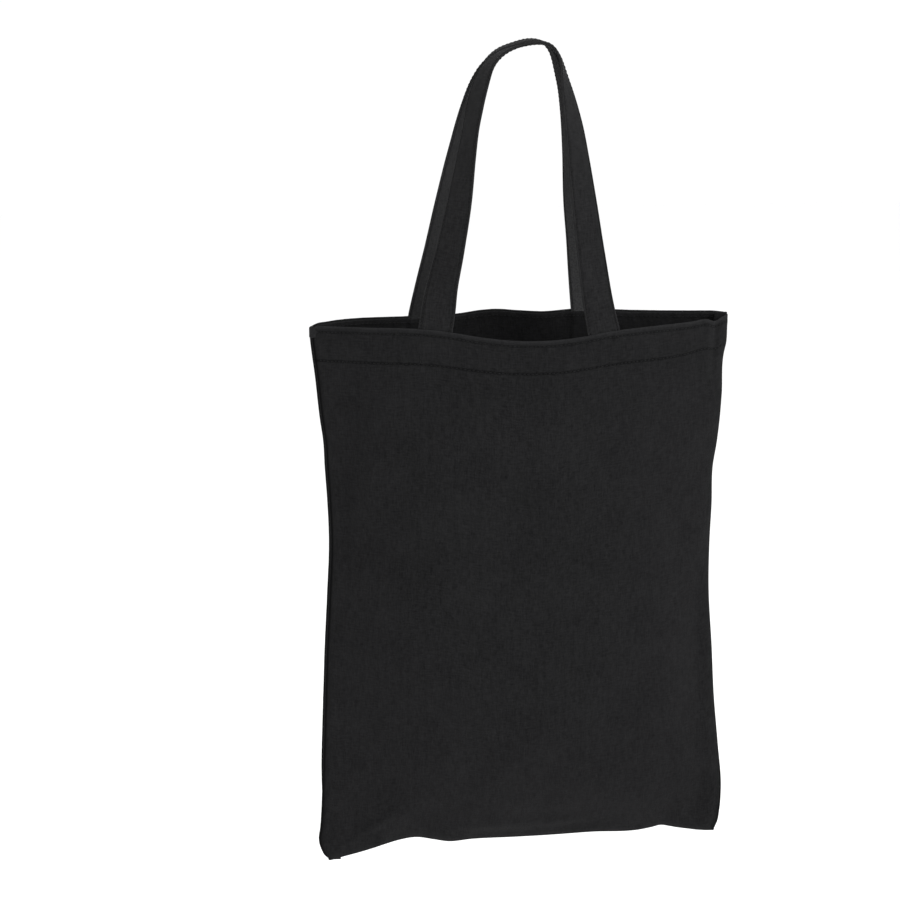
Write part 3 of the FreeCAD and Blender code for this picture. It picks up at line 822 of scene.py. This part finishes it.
def strapFrame(side):
    # The strap's middle line with its width and outward directions at even steps, foot to foot
    line = np.array(strapPath[side])
    lengths = shareAlong(line)
    walk = np.linspace(0, 1, 321)
    x = smoothCurve(np.stack([lengths, line[:, 0]], -1), walk)
    height = smoothCurve(np.stack([lengths, line[:, 1]], -1), walk)
    for _ in range(12):
        x[1:-1] = (x[:-2] + 2 * x[1:-1] + x[2:]) / 4
        height[1:-1] = (height[:-2] + 2 * height[1:-1] + height[2:]) / 4
    tails, drop, footTurn = strapTails(side)
    feet = [tail[0] for tail in tails]
    top = strapTop - strap["thickness"] / 2
    rise = height / height.max()
    footZ = rimZ + np.where(walk < 0.5, *[smoothCurve(rimLine[side], foot[0]) for foot in feet])
    z = footZ + (top - footZ) * rise
    footY = np.where(walk < 0.5, feet[0][1], feet[1][1])
    lowest = smoothStep(-0.25, 1.0, 0)
    lean = (smoothStep(-0.25, 1.0, rise) - lowest) / (1 - lowest)
    y = footY + (side * strap["topApart"] - footY) * lean
    loop = np.stack([x, y, z], -1)
    for tail, foot in zip(tails, (loop[0], loop[-1])):
        tail[:, 0] = foot[0]
        tail[:, 2] = foot[2] - drop
    path = np.concatenate([tails[0][::-1], loop, tails[1]])
    for _ in range(3):
        path[1:-1] = (path[:-2] + 2 * path[1:-1] + path[2:]) / 4
    share = np.concatenate([np.zeros(len(drop)), shareAlong(loop), np.ones(len(drop))])
    turns = ((0.0, footTurn[0]),) + strapTwist[side] + ((1.0, footTurn[1]),)
    twist = np.radians(smoothCurve(turns, share))
    print(wallName[side], "strap leaves the rim turned by", [round(turn, 1) for turn in footTurn])
    along = unit(np.gradient(path, axis=0))
    tilt = (side == front) * lineOn(share - 0.5, (strap["topTilt"], strap["topTiltReach"]))
    width = np.stack([np.cos(twist), side * np.sin(twist), tilt], -1)
    width = unit(width - along * (width * along).sum(-1, keepdims=True))
    outward = unit(np.cross(width, along)) * -side
    return path, width, outward


strapRowAt = strap["width"] / 2 - strap["rowInset"]


def strapSection():
    # Half the section's height over its width: a flat band with round edges and a dip at each stitch row
    half = strap["width"] / 2
    t = np.linspace(-1, 1, strap["sectionPoints"])
    across = half * np.sin(t * math.pi / 2) * 0.5 + half * t * 0.5
    height = strap["thickness"] / 2 * (1 - np.abs(across / half) ** 14) ** 0.5
    height = height * (1 - lineOn(np.abs(across) - strapRowAt, (strap["rowGroove"], 0.0006)))
    height = height * (1 + 0.10 * np.cos(across / half * math.pi / 2))
    ringAcross = np.concatenate([across, across[-2:0:-1]])
    ringHeight = np.concatenate([height, -height[-2:0:-1]])
    return ringAcross, ringHeight


strapShade = {
    "edgeWear": (0.2, 0.0007),
    # painted shade along the strap's stitch rows
    "rowGrooveShade": (0.55, 0.0005),
    "paintedLight": 0.30,  # how much painted light the back strap's inner face gets away from where it hangs
    "paintedLightNearFoot": 0.65,  # and how much more near its right foot
}


def buildStrap(side):
    # The section carried along the strap's line, closed at both ends
    path, width, outward = strapFrames[side]
    across, height = strapSection()
    points = (path[:, None] + width[:, None] * across[None, :, None]
              + outward[:, None] * height[None, :, None])
    rows, columns = points.shape[:2]
    faces = gridFaces(rows, columns, closed=True, flip=side == back)
    firstRing, lastRing = list(range(columns)), list(range((rows - 1) * columns, rows * columns))
    if side == front:
        firstRing.reverse()
    else:
        lastRing.reverse()
    faces += [firstRing, lastRing]
    length = runLength(path[None], 1)[0]
    inner = np.arange(columns) >= strap["sectionPoints"]
    around = np.where(inner, across + 0.05, across)  # the inner face has its own stretch of cloth
    uv = np.stack([around[None] + 0 * length[:, None], length[:, None] + 0 * around[None]], -1)
    edgeAway = strap["width"] / 2 - np.abs(across)
    wear = fadeFrom(edgeAway, strapShade["edgeWear"])[None] + 0 * length[:, None]
    # Painted shade along the grooves of the strap's stitch rows
    crease = lineOn(np.abs(across) - strapRowAt, strapShade["rowGrooveShade"])[None] + 0 * length[:, None]
    # Painted light: the back strap's inner face is made paler on both legs, most near its right foot,
    # standing in for light falling there
    if side == back:
        share = length / length[-1]
        paintedLight = (strapShade["paintedLight"] * smoothStep(0.08, 0.25, np.abs(share - 0.5))
                + strapShade["paintedLightNearFoot"] * smoothStep(0.60, 0.90, share))
        wear = np.maximum(wear, paintedLight[:, None] * inner[None])
    return addObject(wallName[side] + "_strap", points, faces, strapCanvas, uv,
                     wear=wear, crease=crease)


def blendStrap(piece):
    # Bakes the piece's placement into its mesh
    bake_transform(piece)


strapFrames = {side: strapFrame(side) for side in (front, back)}
straps = {}
for side in (front, back):
    straps[side] = buildStrap(side)
    blendStrap(straps[side])
    name = wallName[side]
    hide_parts(name + "_handle_strap",
                name + "_left_strap_end", name + "_right_strap_end")
print("straps are made")


# Thread

stitch = {
    "pitch": 0.0031,
    "length": 0.0027,
    "radius": 0.00027,
    "sink": 0.00004,
    "dip": 0.00026,
    "lean": 0.05,  # how unevenly the stitches point, in radians
    "seamInset": 0.0032,  # from a seam's folded edge to its stitches
    "outerShare": 0.985,  # a hem row ends here outside, short of the seams
    "innerShare": 0.955,  # and here inside, short of the allowances
    "samples": 400,
}


def unitStitch():
    # A little spindle along x: rings of radius sin(angle)^0.7, closed by a point at each end
    angle = np.linspace(0, math.pi, 7)[1:-1]
    turn = np.linspace(0, 2 * math.pi, 7)[:-1]
    ring = np.sin(angle) ** 0.7
    x = -np.cos(angle)[:, None] + 0 * turn[None]
    y = ring[:, None] * np.cos(turn)[None]
    z = ring[:, None] * np.sin(turn)[None]
    points = np.concatenate([[[-1, 0, 0]], np.stack([x, y, z], -1).reshape(-1, 3), [[1, 0, 0]]])
    count, last = len(turn), len(points) - 1
    faces = [(1 + row * count + i, 1 + row * count + (i + 1) % count,
              1 + (row + 1) * count + (i + 1) % count, 1 + (row + 1) * count + i)
             for row in range(len(angle) - 1) for i in range(count)]
    faces += [(0, 1 + (i + 1) % count, 1 + i) for i in range(count)]
    base = last - count
    faces += [(last, base + i, base + (i + 1) % count) for i in range(count)]
    return points, faces


def stitchesAlong(path, outward, seed):
    # One spindle per step of the row, each laid on the surface with its ends pulled into it
    lengths = runLength(path[None], 1)[0]
    count = int(lengths[-1] / stitch["pitch"])
    rng = np.random.default_rng(seed)
    at = (np.arange(count) + 0.5) * lengths[-1] / count

    def sample(values, where):
        return np.stack([np.interp(where, lengths, column) for column in values.T], -1)

    half = stitch["length"] / 2 * rng.uniform(0.9, 1.05, count)
    start, end = sample(path, at - half), sample(path, at + half)
    centre = sample(path, at)
    along = unit(end - start)
    up = sample(outward, at)
    up = unit(up - along * (up * along).sum(-1, keepdims=True))
    sideways = np.cross(up, along)
    lean = rng.normal(0, stitch["lean"], count)[:, None]
    along = unit(along + sideways * lean)
    shape, faces = unitStitch()
    rise = stitch["radius"] * 0.6 - stitch["sink"] - stitch["dip"] * shape[:, 0] ** 2
    points = (centre[:, None]
              + along[:, None] * (shape[:, 0][None, :, None] * half[:, None, None])
              + sideways[:, None] * shape[None, :, 1:2] * stitch["radius"]
              + up[:, None] * (shape[:, 2] * stitch["radius"] + rise)[None, :, None])
    return points, faces


def joinShapes(groups):
    # Many copies of small shapes as one list of points and faces
    points, faces, start = [], [], 0
    for copies, shapeFaces in groups:
        count, size = copies.shape[:2]
        points.append(copies.reshape(-1, 3))
        firsts = start + (np.arange(count) * size)[:, None, None]
        for corners in (3, 4):
            kind = np.array([face for face in shapeFaces if len(face) == corners])
            faces += (kind[None] + firsts).reshape(-1, corners).tolist()
        start += count * size
    return np.concatenate(points), faces


def addThread(name, points, faces, node):
    # One thread piece, which stands for its node
    piece = addObject(name, points, faces, thread)
    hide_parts(node)
    return piece


def buildHemRow(side, label, depth, seed):
    # A row through wall and facing, seen outside and inside
    share = np.linspace(-stitch["outerShare"], stitch["outerShare"], stitch["samples"])
    row = depth(share * halfMouth)
    outside = wallPoint(side, share, row)
    normal = wallNormal(side, share, row)
    inShare = np.linspace(-stitch["innerShare"], stitch["innerShare"], stitch["samples"])
    row = depth(inShare * halfMouth)
    insideNormal = wallNormal(side, inShare, np.full_like(inShare, calmDepth))
    inX = wallX(side, inShare, 0 * inShare)
    room = facing["strapRoom"] * strapPrint(side, inX, np.minimum(row, 0.02))
    away = facing["offset"] + room - facing["rowDip"][0]
    inside = wallPoint(side, inShare, row) - insideNormal * away[:, None]
    groups = [stitchesAlong(outside, normal, seed),
              stitchesAlong(inside, -insideNormal, seed + 1)]
    name = f"{wallName[side]}_{label}_stitch"
    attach(addThread(name + "es", *joinShapes(groups), name), "bag")


def buildStrapRows(side):
    # Edge stitching on both faces of the strap, one piece for each edge
    path, width, outward = strapFrames[side]
    face = strap["thickness"] / 2 * 0.80
    for label, hand in (("outer", -1), ("inner", 1)):
        row = path + width * strapRowAt * hand
        groups = [stitchesAlong(row + outward * face, outward, 60 + hand + side),
                  stitchesAlong(row - outward * face, -outward, 70 + hand + side)]
        name = wallName[side]
        blendStrap(addThread(f"{name}_strap_{label}_stitches", *joinShapes(groups),
                             f"{name}_handle_{label}_stitch"))


def seamEdge(label, inset, steps):
    # A line inside a seam, inset from the folded edge; gives its points and the direction of the edge
    if label == "bottom":
        share = np.linspace(-0.94, 0.94, steps)
        x = wallX(front, share, np.full_like(share, bagHeight))
        z = bagBottom - smoothCurve(bottomLine, x) + inset
        return np.stack([x, 0 * x, z], -1), np.array([0, 0, 1.0])
    hand = -1 if label == "left" else 1
    depth = np.linspace(0.001, bagHeight - 0.004, steps)
    x = wallX(front, np.full_like(depth, hand), depth) - hand * inset
    z = wallZ(front, x, depth)
    return np.stack([x, 0 * x, z], -1), np.array([-hand, 0, 0.0])


overlock = {
    "pitch": 0.0021,
    "reach": 0.0022,
    "halfDepth": 0.0013,
    "radius": 0.0002,
    "sides": 5,
    "perTurn": 10,
}


def tubeAlong(path, radius, sides):
    # A round tube: rings across the path, turned by its own direction, with closed ends
    along = unit(np.gradient(path, axis=0))
    helper = np.where(np.abs(along[:, 1:2]) < 0.8, [[0.0, 1.0, 0.0]], [[1.0, 0.0, 0.0]])
    first = unit(np.cross(along, helper))
    second = np.cross(along, first)
    turn = np.linspace(0, 2 * math.pi, sides + 1)[:-1]
    ring = (first[:, None] * np.cos(turn)[None, :, None]
            + second[:, None] * np.sin(turn)[None, :, None])
    points = path[:, None] + radius * ring
    rows = len(path)
    faces = gridFaces(rows, sides, closed=True)
    faces += [list(range(sides))[::-1], list(range((rows - 1) * sides, rows * sides))]
    return points, faces


def buildSeamThreads(label):
    # The seam's own stitches on both faces of the allowances, and the overlock round their raw edge
    line, inwards = seamEdge(label, stitch["seamInset"], 300)
    layer = wall["seamGap"] + wall["clothThickness"]
    toFront = np.repeat([[0.0, -1.0, 0.0]], len(line), 0)
    groups = [stitchesAlong(line + toFront * layer, toFront, 90),
              stitchesAlong(line - toFront * layer, -toFront, 91)]
    name = f"{label}_seam_stitch"
    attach(addThread(name + "es", *joinShapes(groups), name), "bag")

    raw = wall["seamAllowance"] - overlock["reach"] / 2
    ends = seamEdge(label, raw, 2)[0]
    turns = int(np.linalg.norm(ends[1] - ends[0]) / overlock["pitch"])
    steps = turns * overlock["perTurn"]
    edge = seamEdge(label, raw, steps)[0]
    turn = np.arange(steps) / overlock["perTurn"] * 2 * math.pi
    path = (edge + inwards * (overlock["reach"] * np.cos(turn))[:, None]
            + np.array([0, 1.0, 0]) * (overlock["halfDepth"] * np.sin(turn))[:, None])
    points, faces = tubeAlong(path, overlock["radius"], overlock["sides"])
    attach(addThread(f"{label}_overlock_loops", points, faces, f"{label}_overlock_thread"), "bag")


for side in (front, back):
    buildHemRow(side, "rim", lambda x: wall["rimRowDepth"] + 0 * x, 100 + side)
    buildHemRow(side, "hem", hemRowAt, 110 + side)
    buildStrapRows(side)
for label in ("left", "right", "bottom"):
    buildSeamThreads(label)
print("threads are made")
